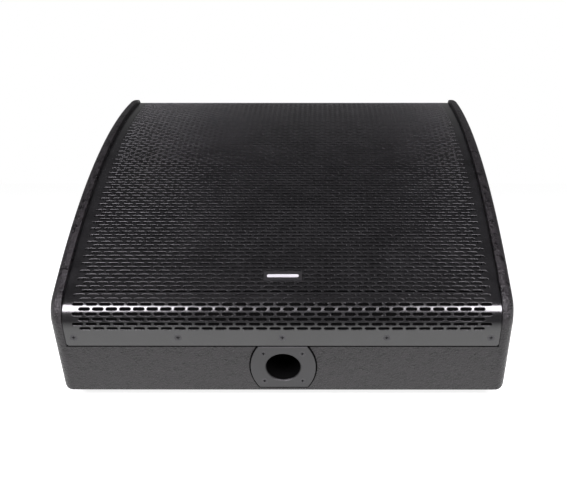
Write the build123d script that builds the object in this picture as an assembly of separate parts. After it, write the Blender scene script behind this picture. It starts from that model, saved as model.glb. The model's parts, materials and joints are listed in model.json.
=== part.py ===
"""A low-profile stage monitor wedge: a plywood cabinet with a curved perforated steel grille, a 12-inch
coaxial driver, two reflex ports, a passive crossover, an input plate and a pole socket.

Frame: +X to the right, the grille faces -Y and up, +Z up. The origin is on the floor, under the middle
of the outer box. Lengths are millimetres and angles are degrees. A slope is the angle of a line in the
side view above the +Y direction; the outward normal of a surface of slope s is (-sin s, cos s).
"""

from build123d import *
import os
from math import cos, radians, sin, sqrt

# ---- Driving dimensions: cabinet and grille ----------------------------------------------------------
WIDTH = 480.0                # across the two side panels
DEPTH = 520.0                # nose to rear face
SIDE_PLY = 13.0              # side panel thickness
PLY = 15.0                   # thickness of all other panels
FOOT_HEIGHT = 8.0            # underside of the cabinet above the floor

FRONT_SLOPE = 120.0          # front face, which overhangs
REAR_SLOPE = -60.0           # upper rear panel, parallel to the front face
FRONT_FLAT = 86.0            # flat front face, from the underside to the nose bend
NOSE_SLOPE = 44.9            # grille curve where it leaves the nose bend
GRILLE_RADIUS = 893.0        # outer surface of the grille curve
TOP_SLOPE = 15.1             # grille curve where it meets the top bend
BEND_RADIUS = 26.0           # grille bends at nose and top
SHEET = 1.5                  # grille sheet
FLANGE = 22.4                # flat flange of the grille below each bend
RIM_PROUD = 5.0              # side panels stand above the grille curve
RIM_BEND = 28.0              # nose and top corner radius of the side panels
FACE_PROUD = -0.5            # panel faces lie behind the grille flanges
EDGE_ROUND = 10.0            # round-over of the side panels
GAP = 0.6                    # free gap beside the grille
FLANGE_GAP = 1.1             # free gap beyond the edge of each grille flange
TOUCH = 0.1                  # clearance under the grille sheet
FOAM = 5.0                   # foam behind the grille
FOAM_MARGIN = 15.0           # foam edge to side panel, which leaves room for the curved battens

# ---- Driving dimensions: baffle, driver and ports ----------------------------------------------------
BAFFLE_SLOPE = 30.0
BAFFLE_DEPTH = 42.0          # baffle front below the middle of the grille curve
DRIVER_UP = 5.0              # driver centre up the baffle from the middle of the curve
CUTOUT = 142.0               # baffle cut-out radius
BASKET_R = 157.5             # driver flange radius
BOLT_CIRCLE = 149.5          # driver screw circle radius
COIL_R = 37.8                # inner radius of the voice coil former
PORT_X = 165.0               # ports from the centre line
PORT_UP = 148.0              # ports above the driver centre
PORT_BORE = 34.0
PORT_LENGTH = 85.0

# ---- Driving dimensions: fittings --------------------------------------------------------------------
POLE_UP = 33.6               # pole socket centre, up the front face from the underside
POLE_BORE = 18.0             # radius, takes a 35 mm stand pole
POLE_DEPTH = 80.0
POLE_PLATE = 1.5             # thickness of the plate round the pole socket
GRILLE_SCREW_X = (-217.5, -108.75, 0.0, 108.75, 217.5)
GRILLE_SCREW_IN = 10.9       # screws from the free edge of the grille flange
HANDLE_Y, HANDLE_Z = 8.0, 116.0
HANDLE_LONG, HANDLE_HIGH = 150.0, 88.0
INPUT_DOWN = 90.0            # input plate centre, down the upper rear panel from the top bend
FOOT_X, FOOT_Y = 185.0, (-140.0, 205.0)

HALF = WIDTH / 2
INSIDE = HALF - SIDE_PLY     # inner face of a side panel
BASE_TOP = FOOT_HEIGHT + PLY


# ---- Side-view geometry ------------------------------------------------------------------------------
def along(slope, length=1.0):
    """Side-view vector of a given slope."""
    return Vector(cos(radians(slope)), sin(radians(slope))) * length


def outward(slope, length=1.0):
    """Side-view outward normal of a surface of a given slope."""
    return Vector(-sin(radians(slope)), cos(radians(slope))) * length


def bend_centre(slope, curve_out, flat_out, bend):
    """Centre, from the curve's centre, of the bend that joins the curve to the flat face of a slope."""
    curve_slope, side = (NOSE_SLOPE, 1) if slope == FRONT_SLOPE else (TOP_SLOPE, -1)
    start = outward(curve_slope, GRILLE_RADIUS - BEND_RADIUS)
    face = start.dot(outward(slope)) + BEND_RADIUS + flat_out
    reach = GRILLE_RADIUS + curve_out - bend
    return outward(slope, face - bend) + along(slope, side * sqrt(reach**2 - (face - bend) ** 2))


# The curve's centre in the side view, which sets the nose at -DEPTH / 2 and the underside at FOOT_HEIGHT.
NOSE_REACH = bend_centre(FRONT_SLOPE, RIM_PROUD, FACE_PROUD, RIM_BEND).X - RIM_BEND
FLAT_TOP = bend_centre(FRONT_SLOPE, 0, 0, BEND_RADIUS) + outward(FRONT_SLOPE, BEND_RADIUS)
CENTRE = Vector(
    -DEPTH / 2 - NOSE_REACH,
    FOOT_HEIGHT + FRONT_FLAT * sin(radians(FRONT_SLOPE)) - FLAT_TOP.Y,
)


def on_front(up, out=0.0):
    """Side-view point a distance up the front face from the underside, out from the grille flange."""
    top = CENTRE + FLAT_TOP
    return top + along(FRONT_SLOPE, up - FRONT_FLAT) + outward(FRONT_SLOPE, out)


def on_rear(down, out=0.0):
    """Side-view point a distance down the upper rear face from the top bend."""
    top = CENTRE + bend_centre(REAR_SLOPE, 0, 0, BEND_RADIUS) + outward(REAR_SLOPE, BEND_RADIUS)
    return top + along(REAR_SLOPE, down) + outward(REAR_SLOPE, out)


def above_curve_middle(up, out):
    """Side-view point measured from the middle of the grille curve, up the baffle and outward."""
    middle = CENTRE + outward(BAFFLE_SLOPE, GRILLE_RADIUS)
    return middle + along(BAFFLE_SLOPE, up) + outward(BAFFLE_SLOPE, out)


def direction(vector):
    """Angle of a side-view normal as a surface slope."""
    return Vector(0, 1).get_signed_angle(vector, Vector(0, 0, 1))


def profile(curve_out, flat_out, bend):
    """Closed side-view face under a skin that stands curve_out and flat_out proud of the grille."""
    nose = bend_centre(FRONT_SLOPE, curve_out, flat_out, bend)
    top = bend_centre(REAR_SLOPE, curve_out, flat_out, bend)
    radius = GRILLE_RADIUS + curve_out
    start, end = direction(nose), direction(top)
    foot = on_front(0, flat_out)
    foot += along(FRONT_SLOPE, (FOOT_HEIGHT - foot.Y) / sin(radians(FRONT_SLOPE)))
    heel = on_rear(0, flat_out)
    heel += along(REAR_SLOPE, (DEPTH / 2 - heel.X) / cos(radians(REAR_SLOPE)))
    corners = [
        CENTRE + nose + outward(FRONT_SLOPE, bend),
        CENTRE + outward(start, radius),
        CENTRE + outward(end, radius),
        CENTRE + top + outward(REAR_SLOPE, bend),
    ]
    edges = [
        Line(foot, corners[0]),
        ThreePointArc(corners[0], CENTRE + nose + outward((FRONT_SLOPE + start) / 2, bend), corners[1]),
        ThreePointArc(corners[1], CENTRE + outward((start + end) / 2, radius), corners[2]),
        ThreePointArc(corners[2], CENTRE + top + outward((REAR_SLOPE + end) / 2, bend), corners[3]),
        Line(corners[3], heel),
        Line(heel, (DEPTH / 2, FOOT_HEIGHT)),
        Line((DEPTH / 2, FOOT_HEIGHT), foot),
    ]
    return make_face(Plane.YZ * Curve(edges))


def across(face, half=INSIDE):
    """A side-view face extruded to both sides of the centre line."""
    return extrude(face, half, both=True)


def skin(depth):
    """The cabinet's inside up to a depth below the grille's outer surface."""
    return across(profile(-depth, -depth, BEND_RADIUS - depth))


def strip(start, slope, length, thickness, half=INSIDE):
    """A board whose outer face runs from start along a slope; its thickness goes inward."""
    inward = outward(slope, -thickness)
    end = start + along(slope, length)
    points = [(p.X, p.Y) for p in (start, end, end + inward, start + inward)]
    return across(make_face(Plane.YZ * Polyline(*points, close=True)), half)


def side_frame(point, slope, x_sign=1):
    """Plane on a surface of a slope: z points out of it and y runs up it."""
    normal = outward(slope)
    return Plane(origin=(0, point.X, point.Y), x_dir=(x_sign, 0, 0), z_dir=(0, normal.X, normal.Y))


BAFFLE = side_frame(above_curve_middle(DRIVER_UP, -BAFFLE_DEPTH), BAFFLE_SLOPE)
FRONT = side_frame(on_front(POLE_UP, FACE_PROUD), FRONT_SLOPE)
FLANGE_FRONT = side_frame(on_front(FRONT_FLAT - FLANGE + GRILLE_SCREW_IN), FRONT_SLOPE)
FLANGE_REAR = side_frame(on_rear(FLANGE - GRILLE_SCREW_IN), REAR_SLOPE, -1)
REAR = side_frame(on_rear(INPUT_DOWN, FACE_PROUD), REAR_SLOPE, -1)


# ---- General shapes ----------------------------------------------------------------------------------
def disc(radius, low, high, at=(0, 0)):
    """Cylinder between two heights."""
    return Pos(at[0], at[1], (low + high) / 2) * Cylinder(radius, high - low)


def ring(inner, outer, low, high, at=(0, 0)):
    """Flat ring between two heights."""
    return disc(outer, low, high, at) - disc(inner, low - 1, high + 1, at)


def lathe(*points):
    """Solid turned about Z from (radius, height) points."""
    return revolve(make_face(Plane.XZ * Polyline(*points, close=True)), Axis.Z)


def box(x, y, z):
    """Box between the two limits given for each axis."""
    size = [limit[1] - limit[0] for limit in (x, y, z)]
    return Pos(sum(x) / 2, sum(y) / 2, sum(z) / 2) * Box(*size)


def around(count, radius, start=0.0):
    """Evenly spaced (x, y) points on a circle."""
    angles = [radians(start + 360 * i / count) for i in range(count)]
    return [(radius * cos(a), radius * sin(a)) for a in angles]


def group(solids):
    """Several identical pieces kept as one part."""
    return Compound(children=[solid for solid in solids])


def round_cable(radius, *points):
    """Cable through the given points."""
    path = Spline(*points)
    return sweep((path ^ 0) * Circle(radius), path=path)


def countersunk_screw(head_r, shank_r, length):
    """Countersunk cross-recess screw whose head is flush with z = 0."""
    sink = head_r - shank_r
    body = lathe((0, 0), (head_r, 0), (shank_r, -sink), (shank_r, -length + 3), (0, -length))
    cross = box((-head_r / 2, head_r / 2), (-0.5, 0.5), (-head_r * 0.35, 1))
    return body - cross - Rot(0, 0, 90) * cross


def countersink(head_r, shank_r, length, clear=0.05):
    """Space a countersunk screw takes out of the pieces it holds."""
    sink = head_r - shank_r
    hole_r = shank_r + clear
    mouth_r, end = head_r + clear, -length - 1
    return lathe((0, 1), (mouth_r, 1), (mouth_r, 0), (hole_r, -sink), (hole_r, end), (0, end))


def pan_screw(head_r, head_h, shank_r, length):
    """Pan-head cross-recess screw whose head stands on z = 0."""
    head = lathe((0, 0), (head_r, 0), (head_r, head_h * 0.4), (head_r * 0.7, head_h), (0, head_h))
    cross = box((-head_r * 0.55, head_r * 0.55), (-0.5, 0.5), (head_h - 1.2, head_h + 1))
    return head - cross - Rot(0, 0, 90) * cross + disc(shank_r, -length, 0)


# ---- Cabinet -----------------------------------------------------------------------------------------
FRONT_BOARD = strip(on_front(-20, FACE_PROUD), FRONT_SLOPE, 160, PLY)
REAR_BOARD = strip(on_rear(-40, FACE_PROUD), REAR_SLOPE, 300, PLY)
OUTER = across(profile(RIM_PROUD, FACE_PROUD, RIM_BEND))
UNDER_SHEET = skin(SHEET + TOUCH)
FRONT_FACE = strip(on_front(-20, FACE_PROUD), FRONT_SLOPE, FRONT_FLAT - FLANGE - FLANGE_GAP + 20, PLY)
REAR_FACE = strip(on_rear(FLANGE + FLANGE_GAP, FACE_PROUD), REAR_SLOPE, 260, PLY)
ABOVE_BAFFLE = strip(above_curve_middle(-320, 60), BAFFLE_SLOPE, 640, BAFFLE_DEPTH + 60)
HEEL = box((-INSIDE, INSIDE), (DEPTH / 2 - PLY, DEPTH / 2), (BASE_TOP, 300))
SCREW_CUTS = [
    plane.location * Pos(x, 0, 0) * countersink(4.0, 1.9, 20)
    for plane in (FLANGE_FRONT, FLANGE_REAR)
    for x in GRILLE_SCREW_X
]


def handle_hole(clear=0.0):
    """Rounded opening for a handle, along X through a side panel."""
    shape = RectangleRounded(HANDLE_LONG + 2 * clear, HANDLE_HIGH + 2 * clear, 20 + clear)
    return extrude(Plane.YZ.offset(150) * Pos(HANDLE_Y, HANDLE_Z) * shape, 120)


def side_panel(side):
    """Side panel with a rounded outer edge and the handle opening."""
    panel = across(profile(RIM_PROUD, FACE_PROUD, RIM_BEND), HALF)
    panel &= box((INSIDE, HALF), (-300, 300), (0, 400))
    panel = fillet(panel.faces().sort_by(Axis.X)[-1].edges(), EDGE_ROUND)
    panel -= handle_hole(0.5)
    panel -= [Pos(HALF, y, z) * Rot(0, 90, 0) * disc(1.8, -9, 1) for y, z in handle_screw_spots()]
    return panel if side > 0 else mirror(panel, Plane.YZ)


def bottom_panel():
    """Bottom panel with pilot holes for the feet."""
    board = box((-INSIDE, INSIDE), (-DEPTH / 2, DEPTH / 2), (FOOT_HEIGHT, BASE_TOP))
    pilots = [disc(1.9, FOOT_HEIGHT - 1, FOOT_HEIGHT + 11, spot) for spot in foot_spots()]
    pilots += [disc(1.5, BASE_TOP - 8, BASE_TOP + 1, spot) for spot in standoff_spots()]
    return (board & OUTER) - FRONT_BOARD - pilots


def front_panel():
    """Front panel, recessed at its top for the grille flange, with the pole socket opening."""
    board = FRONT_BOARD & OUTER & (UNDER_SHEET + FRONT_FACE)
    opening = FRONT.location * disc(POLE_BORE + 4.5, -PLY - 5, 5)
    pilots = [FRONT.location * disc(1.9, -12, 1, spot) for spot in pole_screw_spots()]
    return board - SCREW_CUTS - opening - pilots


def rear_lower_panel():
    """Upright panel at the foot of the rear."""
    return HEEL & OUTER


def rear_upper_panel():
    """Leaning panel above it, recessed at its top for the grille flange, with the input opening."""
    board = REAR_BOARD & OUTER & (UNDER_SHEET + REAR_FACE)
    opening = REAR.location * extrude(Pos(0, 0, -30) * RectangleRounded(117, 71, 9), 40)
    pilots = [REAR.location * disc(1.6, -12, 1, spot) for spot in input_screw_spots()]
    return board - HEEL - SCREW_CUTS - opening - pilots


def baffle():
    """Baffle with the driver cut-out, its screw holes and two port holes."""
    board = strip(above_curve_middle(-320, -BAFFLE_DEPTH), BAFFLE_SLOPE, 640, PLY)
    holes = [disc(CUTOUT, -20, 1)]
    holes += [disc(4.1, -20, 1, spot) for spot in around(8, BOLT_CIRCLE, 22.5)]
    holes += [disc(PORT_BORE + 3.2, -20, 1, (x, PORT_UP)) for x in (-PORT_X, PORT_X)]
    return (board & OUTER) - FRONT_BOARD - REAR_BOARD - [BAFFLE.location * hole for hole in holes]


def cross_rail(slope):
    """Rail across the cabinet, on the baffle, under the grille's nose or top bend."""
    start = on_front(-20, FACE_PROUD) if slope == FRONT_SLOPE else on_rear(-40, FACE_PROUD)
    rail = strip(start, slope, 300, PLY + 14) - strip(start, slope, 300, PLY)
    return rail & UNDER_SHEET & ABOVE_BAFFLE


def curved_battens():
    """Two battens on the side panels that carry the grille's long edges."""
    zone = UNDER_SHEET & ABOVE_BAFFLE
    zone -= [strip(on_front(-20, FACE_PROUD), FRONT_SLOPE, 300, PLY + 14)]
    zone -= [strip(on_rear(-40, FACE_PROUD), REAR_SLOPE, 300, PLY + 14)]
    sides = [box(side, (-300, 300), (0, 400)) for side in ((INSIDE - 14, INSIDE), (-INSIDE, 14 - INSIDE))]
    return group([zone & side for side in sides])


def corner_battens():
    """Square battens along the inner bottom corners."""
    front = on_front(0, FACE_PROUD - PLY) + along(FRONT_SLOPE, PLY / sin(radians(FRONT_SLOPE)) - 4)
    size = 20.0
    rear = box((-INSIDE, INSIDE), (DEPTH / 2 - PLY - size, DEPTH / 2 - PLY), (BASE_TOP, BASE_TOP + size))
    sides = [(POLE_BORE + 12, INSIDE), (-INSIDE, -POLE_BORE - 12)]
    length, height = (front.X, front.X + 30), (BASE_TOP, BASE_TOP + size)
    blocks = [box(side, length, height) - FRONT_BOARD for side in sides]
    return group(blocks + [rear])


# ---- Grille ------------------------------------------------------------------------------------------
def grille():
    """Curved steel sheet bent over the nose and the top, with a flange at each end."""
    half = INSIDE - GAP
    sheet = across(profile(0, 0, BEND_RADIUS), half)
    sheet -= across(profile(-SHEET, -SHEET, BEND_RADIUS - SHEET), HALF)
    sheet -= strip(on_front(-20, 5), FRONT_SLOPE, FRONT_FLAT - FLANGE + 20, 20, HALF)
    sheet -= strip(on_rear(FLANGE, 5), REAR_SLOPE, 260, 20, HALF)
    return sheet - SCREW_CUTS


def grille_foam():
    """Thin open foam laid behind the curved part of the grille."""
    layer = (UNDER_SHEET - skin(SHEET + TOUCH + FOAM)) & ABOVE_BAFFLE
    layer &= box((FOAM_MARGIN - INSIDE, INSIDE - FOAM_MARGIN), (-300, 300), (0, 400))
    layer -= strip(on_front(-20, FACE_PROUD), FRONT_SLOPE, 300, PLY + 15)
    return layer - strip(on_rear(-40, FACE_PROUD), REAR_SLOPE, 300, PLY + 15)


def grille_screws():
    """Countersunk screws through the two grille flanges."""
    screw = countersunk_screw(4.0, 1.9, 18)
    planes = (FLANGE_FRONT, FLANGE_REAR)
    return group([plane.location * Pos(x, 0, 0) * screw for plane in planes for x in GRILLE_SCREW_X])


BADGE = side_frame(CENTRE + outward(NOSE_SLOPE - 1.88, GRILLE_RADIUS + 0.1), NOSE_SLOPE - 1.88)


def badge_plate():
    """Small blank plate on the lower part of the grille."""
    plate = extrude(RectangleRounded(40.7, 12.9, 1.0), 1.4)
    recess = Pos(0, 0, 0.9) * extrude(RectangleRounded(34.0, 4.4, 2.0), 1)
    return BADGE.location * (plate - recess)


def badge_bar():
    """Plain bar set into the badge plate."""
    return BADGE.location * Pos(0, 0, 0.9) * extrude(RectangleRounded(33.6, 4.0, 1.8), 0.7)


# ---- Outside fittings --------------------------------------------------------------------------------
def pole_screw_spots():
    """Positions of the pole socket screws on its plate."""
    return [(x, y) for x in (-20.5, 20.5) for y in (-19.5, 19.5)]


def pole_socket():
    """Moulded cup with a bow-sided, flat-topped flange and a closed inner end."""
    sides = (Pos(16.2, 0) * Circle(51)) & (Pos(-16.2, 0) * Circle(51))
    plate = extrude(sides & Rectangle(80, 57.6), POLE_PLATE)
    plate = chamfer(plate.faces().sort_by(Axis.Z)[-1].edges(), 0.4)
    body = plate + disc(POLE_BORE + 3, -POLE_DEPTH - 3, 1)
    flare = [(0, 5), (POLE_BORE + 5, 5), (POLE_BORE, POLE_PLATE - 1.6)]
    mouth = lathe(*flare, (POLE_BORE, -POLE_DEPTH), (0, -POLE_DEPTH))
    cuts = [Pos(x, y, POLE_PLATE) * countersink(3.4, 1.9, 20) for x, y in pole_screw_spots()]
    return FRONT.location * (body - mouth - cuts)


def pole_screws():
    """Countersunk screws of the pole socket."""
    screw = countersunk_screw(3.4, 1.9, 13)
    return group([FRONT.location * Pos(x, y, POLE_PLATE) * screw for x, y in pole_screw_spots()])


def handle_screw_spots():
    """Side-view positions of the handle screws."""
    return [(HANDLE_Y + a * 80, HANDLE_Z + b * 40) for a in (-1, 1) for b in (-1, 1)]


def handle(side):
    """Recessed pocket handle: an outer lip, a closed pocket and a grip lip over its top."""
    plane = Plane.YZ.offset(HALF)
    outline = RectangleRounded(HANDLE_LONG + 24, HANDLE_HIGH + 10, 16)
    lip = extrude(plane * Pos(HANDLE_Y, HANDLE_Z) * outline, 3)
    lip = fillet(lip.faces().sort_by(Axis.X)[-1].edges(), 2.0)
    shell = extrude(plane * Pos(HANDLE_Y, HANDLE_Z) * RectangleRounded(HANDLE_LONG, HANDLE_HIGH, 20), -46)
    hollow = RectangleRounded(HANDLE_LONG - 6, HANDLE_HIGH - 6, 17)
    mouth = RectangleRounded(HANDLE_LONG - 6, HANDLE_HIGH - 28, 17)
    pocket = extrude(plane.offset(-43) * Pos(HANDLE_Y, HANDLE_Z) * hollow, 34)
    opening = extrude(plane.offset(-10) * Pos(HANDLE_Y, HANDLE_Z - 11) * mouth, 20)
    body = lip + shell - pocket - opening
    cut = Rot(0, 90, 0) * countersink(3.6, 1.8, 12)
    cuts = [Pos(HALF + 3, y, z) * cut for y, z in handle_screw_spots()]
    body -= cuts
    return body if side > 0 else mirror(body, Plane.YZ)


def handle_screws():
    """Countersunk screws of both handles."""
    screw = Rot(0, 90, 0) * countersunk_screw(3.6, 1.75, 11)
    right = [Pos(HALF + 3, y, z) * screw for y, z in handle_screw_spots()]
    return group(right + [mirror(item, Plane.YZ) for item in right])


def foot_spots():
    """Plan positions of the rubber feet."""
    return [(x, y) for x in (-FOOT_X, FOOT_X) for y in FOOT_Y]


def rubber_feet():
    """Four tapered feet, each with a counterbored screw hole."""
    foot = lathe((2.2, 3), (6, 3), (6, 0), (15, 0), (17, 1), (19, FOOT_HEIGHT), (2.2, FOOT_HEIGHT))
    return group([Pos(x, y, 0) * foot for x, y in foot_spots()])


def foot_screws():
    """Pan-head screws that hold the feet."""
    screw = Pos(0, 0, 3) * Rot(180, 0, 0) * pan_screw(4.2, 2.2, 1.9, 15)
    return group([Pos(x, y, 0) * screw for x, y in foot_spots()])


def input_screw_spots():
    """Positions of the input plate screws."""
    return [(x, y) for x in (-66, 66) for y in (-42, 42)]


SOCKETS = (-24.0, 24.0)
DISH = -20.0                 # floor of the input plate's dish below its rim


def input_plate():
    """Moulded plate with a sunk dish that holds two sockets."""
    rim = extrude(RectangleRounded(148, 100, 8), 3)
    rim = fillet(rim.faces().sort_by(Axis.Z)[-1].edges(), 1.2)
    tub = Pos(0, 0, DISH - 3) * extrude(RectangleRounded(115, 69, 8), 3.5 - DISH)
    hollow = Pos(0, 0, DISH) * extrude(RectangleRounded(109, 63, 5), 10 - DISH)
    holes = [disc(12.2, DISH - 5, DISH + 2, (x, 0)) for x in SOCKETS]
    holes += [disc(1.4, DISH - 5, DISH + 2, spot) for x in SOCKETS for spot in socket_screw_spots(x)]
    cuts = [Pos(x, y, 3) * countersink(3.4, 1.6, 20) for x, y in input_screw_spots()]
    return REAR.location * (rim + tub - hollow - holes - cuts)


def input_screws():
    """Screws of the input plate."""
    screw = countersunk_screw(3.4, 1.55, 14)
    return group([REAR.location * Pos(x, y, 3) * screw for x, y in input_screw_spots()])


def socket_screw_spots(x):
    """Positions of one socket's two screws."""
    return [(x - 9.5, 12.0), (x + 9.5, -12.0)]


def socket(x):
    """Round locking speaker socket with a square flange, an annular well and a centre post."""
    flange = Pos(x, 0, DISH) * extrude(RectangleRounded(26, 31, 3), 3)
    flange = fillet(flange.faces().sort_by(Axis.Z)[-1].edges(), 0.8)
    body = flange + disc(11.9, DISH - 24, DISH + 1, (x, 0))
    well = ring(5.0, 9.6, DISH - 20, DISH + 5, (x, 0))
    holes = [disc(1.4, DISH - 1, DISH + 5, spot) for spot in socket_screw_spots(x)]
    blade = box((-2.2, 2.2), (9.0, 10.4), (DISH - 30, DISH - 6))
    blades = [Pos(x, 0) * Rot(0, 0, a) * blade for a in range(45, 405, 90)]
    return REAR.location * (body - well - holes - blades)


def socket_contacts():
    """Four contact blades in each socket, with solder tags behind."""
    blade = box((-2.0, 2.0), (9.1, 10.3), (DISH - 32, DISH - 8))
    turns = range(45, 405, 90)
    return group([REAR.location * Pos(x, 0, 0) * Rot(0, 0, a) * blade for x in SOCKETS for a in turns])


def socket_screws():
    """Small screws of both sockets."""
    screw = Pos(0, 0, DISH + 3) * pan_screw(2.4, 1.6, 1.3, 9)
    spots = [spot for x in SOCKETS for spot in socket_screw_spots(x)]
    return group([REAR.location * Pos(a, b, 0) * screw for a, b in spots])


# ---- Coaxial driver, in the baffle's frame -----------------------------------------------------------
def driver_part(shape):
    """Moves a shape from the driver frame into place on the baffle."""
    return BAFFLE.location * shape


def basket():
    """Cast frame with eight windows and a landing for the spider."""
    shell = lathe(
        (139, 5), (BASKET_R, 5), (BASKET_R, 0), (141, 0), (141, -9), (88, -72), (88, -90),
        (56, -90), (56, -84), (78, -84), (78, -68), (84.5, -68), (139, -6),
    )
    window = Pos(112, 0, -36) * Rot(0, -49, 0) * extrude(RectangleRounded(46, 52, 8), 20, both=True)
    windows = [Rot(0, 0, 45 * i) * window for i in range(8)]
    screws = [disc(3.2, -5, 10, spot) for spot in around(8, BOLT_CIRCLE, 22.5)]
    plate_screws = [disc(2.6, -95, -80, spot) for spot in around(6, 66)]
    return driver_part(shell - windows - screws - plate_screws)


def driver_gasket():
    """Cork ring on the driver flange, notched for the screws."""
    notches = [disc(6.2, 0, 10, spot) for spot in around(8, BOLT_CIRCLE, 22.5)]
    return driver_part(ring(144.2, BASKET_R - 0.5, 5.1, 7.6) - notches)


def driver_screws():
    """Screws of the driver flange."""
    head = disc(5.0, 5.0, 10.0) - extrude(Pos(0, 0, 7.5) * RegularPolygon(2.5, 6), 5)
    screw = head + disc(2.9, -24, 5)
    return group([driver_part(Pos(x, y, 0) * screw) for x, y in around(8, BOLT_CIRCLE, 22.5)])


def tee_nuts():
    """Tee nuts behind the baffle for the driver screws."""
    nut = ring(2.95, 4.0, -PLY, -PLY + 9)
    nut += ring(2.95, 8.0, -PLY - 1.5, -PLY)
    return group([driver_part(Pos(x, y, 0) * nut) for x, y in around(8, BOLT_CIRCLE, 22.5)])


def surround():
    """Doped cloth half-roll between cone and basket."""
    outer = [(143.6, 5.1), (143.6, 6.0), (139, 6.0)]
    bulge = [(132 + 6.5 * cos(radians(a)), 6.0 + 6.5 * sin(radians(a))) for a in range(15, 180, 15)]
    inner = [(125, 6.0), (119.5, 6.0), (119.5, 5.1), (126, 5.1)]
    under = [(132 + 5.7 * cos(radians(a)), 5.4 + 6.2 * sin(radians(a))) for a in range(165, 0, -15)]
    return driver_part(lathe(*outer, *bulge, *inner, *under, (138.6, 5.1)))


def cone():
    """Paper cone with a flat lip for the surround."""
    edge = [(118.5, 4.0), (124.5, 4.0), (124.5, 5.0), (118, 5.0)]
    return driver_part(lathe((38.3, -50), (39.6, -50), *edge, (38.3, -48)))


def dust_screen():
    """Shallow domed mesh over the horn mouth, glued to the cone."""
    dome = [(r, -32.7 + 9 * (1 - (r / 60) ** 2)) for r in (59.5, 50, 40, 30, 20, 10, 0)]
    under = [(r, z - 0.8) for r, z in reversed(dome)]
    return driver_part(lathe(*dome, *under))


def coil_former():
    """Thin tube that carries the voice coil."""
    return driver_part(ring(COIL_R, COIL_R + 0.3, -108, -45))


def coil_winding():
    """Wire wound on the coil former."""
    return driver_part(ring(COIL_R + 0.3, COIL_R + 0.9, -105, -84))


def spider():
    """Corrugated cloth disc that centres the coil."""
    steps = [(COIL_R + 0.5 + i * 3.75, -65.6 + (2.2 if i % 2 else 0)) for i in range(12)]
    top = [(r, z + 0.8) for r, z in reversed(steps)]
    return driver_part(lathe(*steps, (83.5, -67.6), (83.5, -66.6), *top))


def top_plate():
    """Front plate of the magnet, screwed to the basket."""
    holes = [disc(2.4, -100, -88, spot) for spot in around(6, 66)]
    return driver_part(ring(COIL_R + 1.3, 76, -98, -90) - holes)


def plate_screws():
    """Screws that join the basket to the top plate."""
    head = disc(4.2, -84, -80)
    screw = head - extrude(Pos(0, 0, -82) * RegularPolygon(2.0, 6), 5) + disc(2.35, -97, -84)
    return group([driver_part(Pos(x, y, 0) * screw) for x, y in around(6, 66)])


def magnet():
    """Ring magnet of the woofer."""
    return driver_part(ring(48, 92, -120, -98))


def yoke():
    """Back plate and hollow pole in one piece."""
    return driver_part(ring(17, 86, -128, -120) + ring(17, COIL_R - 0.6, -128, -90))


def horn():
    """High-frequency horn that stands in the pole and opens inside the coil former."""
    outside = [(14, -128), (16.9, -128), (16.9, -90), (24, -90), (35, -58), (36, -46)]
    inside = [(34.5, -46), (33, -58), (20, -86), (15.6, -90)]
    return driver_part(lathe(*outside, *inside))


def hf_plate():
    """Mounting plate of the high-frequency unit."""
    holes = [disc(2.1, -140, -120, spot) for spot in around(4, 36, 45)]
    return driver_part(ring(14, 47, -134, -128) - holes)


def hf_magnet():
    """Ring magnet of the high-frequency unit, drilled for its screws."""
    holes = [disc(3.0, -155, -130, spot) for spot in around(4, 36, 45)]
    return driver_part(ring(26, 45, -150, -134) - holes)


def phase_plug():
    """Plug with two ring slots that lead from the dome to the horn throat."""
    body = lathe((0, -136), (25.5, -134), (25.5, -150), (23, -150), (16, -146), (0, -143))
    slots = [ring(r, r + 1.2, -152, -130) for r in (8, 16)]
    cross = box((-1.5, 1.5), (-30, 30), (-152, -137)) + box((-30, 30), (-1.5, 1.5), (-152, -137))
    bridges = body & cross
    return driver_part((body - slots) + bridges)


def hf_dome():
    """Thin dome diaphragm with a flat rim."""
    arc = [(22, -151.2), (18, -149.0), (12, -147.0), (6, -145.9), (0, -145.5)]
    under = [(r, z - 0.4) for r, z in reversed(arc)]
    return driver_part(lathe((23.2, -151.2), *arc, *under, (23.2, -151.6)))


def hf_cover():
    """Rear cover of the high-frequency unit."""
    outside = [(0, -171), (40, -171), (46, -166), (46, -150)]
    inside = [(26.5, -150), (26.5, -153.5), (42.5, -153.5), (42.5, -165), (38.5, -168), (0, -168)]
    cup = lathe(*outside, *inside)
    return driver_part(cup - [disc(3.0, -154, -149, spot) for spot in around(4, 36, 45)])


def port(side):
    """Flared reflex port tube."""
    tube = lathe(
        (PORT_BORE + 3, 0), (44, 0), (44, 2), (PORT_BORE + 4, 3.2), (PORT_BORE, -6),
        (PORT_BORE, -PORT_LENGTH), (PORT_BORE + 3, -PORT_LENGTH),
    )
    return driver_part(Pos(side * PORT_X, PORT_UP, 0) * tube)


# ---- Crossover and wiring ----------------------------------------------------------------------------
BOARD_Y, BOARD_Z = 162.0, BASE_TOP + 8.0


def standoff_spots():
    """Positions of the crossover board's standoffs."""
    return [(x, BOARD_Y + y) for x in (-74, 74) for y in (-38, 38)]


def crossover_board():
    """Board on four standoffs above the bottom panel."""
    board = box((-80, 80), (BOARD_Y - 44, BOARD_Y + 44), (BOARD_Z, BOARD_Z + 1.6))
    return board - [disc(1.5, BOARD_Z - 1, BOARD_Z + 3, spot) for spot in standoff_spots()]


def standoffs():
    """Threaded standoffs under the crossover board."""
    return group([ring(1.5, 3.5, BASE_TOP, BOARD_Z, spot) for spot in standoff_spots()])


def board_screws():
    """Screws of the crossover board."""
    screw = Pos(0, 0, BOARD_Z + 1.6) * pan_screw(2.8, 1.8, 1.4, 16)
    return group([Pos(x, y, 0) * screw for x, y in standoff_spots()])


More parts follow.
